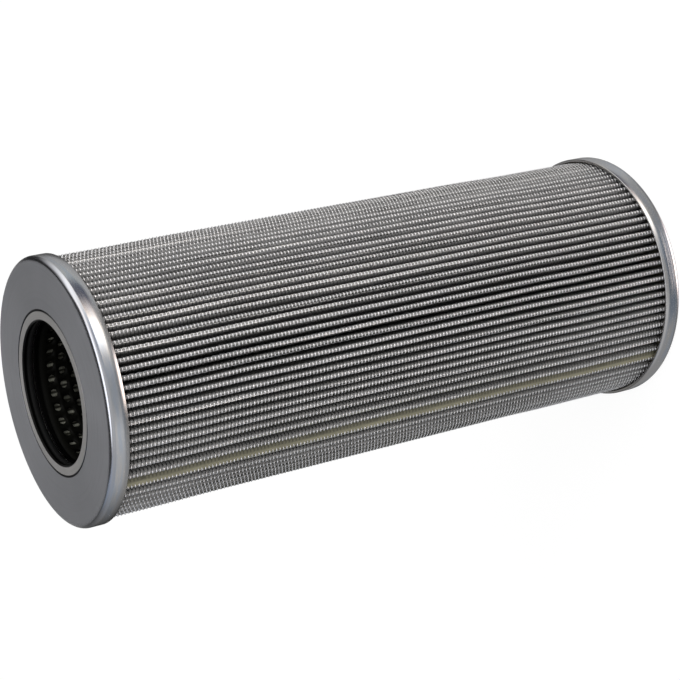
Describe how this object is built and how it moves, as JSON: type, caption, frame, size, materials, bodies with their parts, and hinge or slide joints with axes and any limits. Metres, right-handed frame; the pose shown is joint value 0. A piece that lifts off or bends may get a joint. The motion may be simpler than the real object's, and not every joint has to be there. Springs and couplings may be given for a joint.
{
  "type": "hydraulic filter element",
  "caption": "Cylindrical hydraulic filter element with a pleated wire mesh pack between two steel end caps, one closed and one with a sealed bore.",
  "frame": {"origin": "centre of the closed cap's outer face, on the surface that the element stands on", "axes": "+Z along the element's axis, from the closed cap to the bored cap; the side seam lies about 138 degrees clockwise from +X seen from above"},
  "size_m": [0.096, 0.096, 0.241],
  "materials": {
    "cap_steel": "satin plated sheet",
    "collar_steel": "turned",
    "seal_rubber": "moulded, slightly glossy",
    "core_steel": "plated perforated sheet",
    "potting_resin": "cast resin",
    "mesh_steel": "bright woven wire",
    "glass_fibre": "matt fibre sheet",
    "fleece": "matt non-woven",
    "seam_resin": "cured adhesive"
  },
  "bodies": {
    "root": {"end_cap_open": "cap_steel", "end_cap_blind": "cap_steel", "bore_collar": "collar_steel", "bore_seal": "seal_rubber", "core_tube": "core_steel", "potting_open": "potting_resin", "potting_blind": "potting_resin", "outer_mesh": "mesh_steel", "filter_media": "glass_fibre", "support_fleece": "fleece", "inner_mesh": "mesh_steel", "side_seam": "seam_resin"}
  },
  "joints": []
}
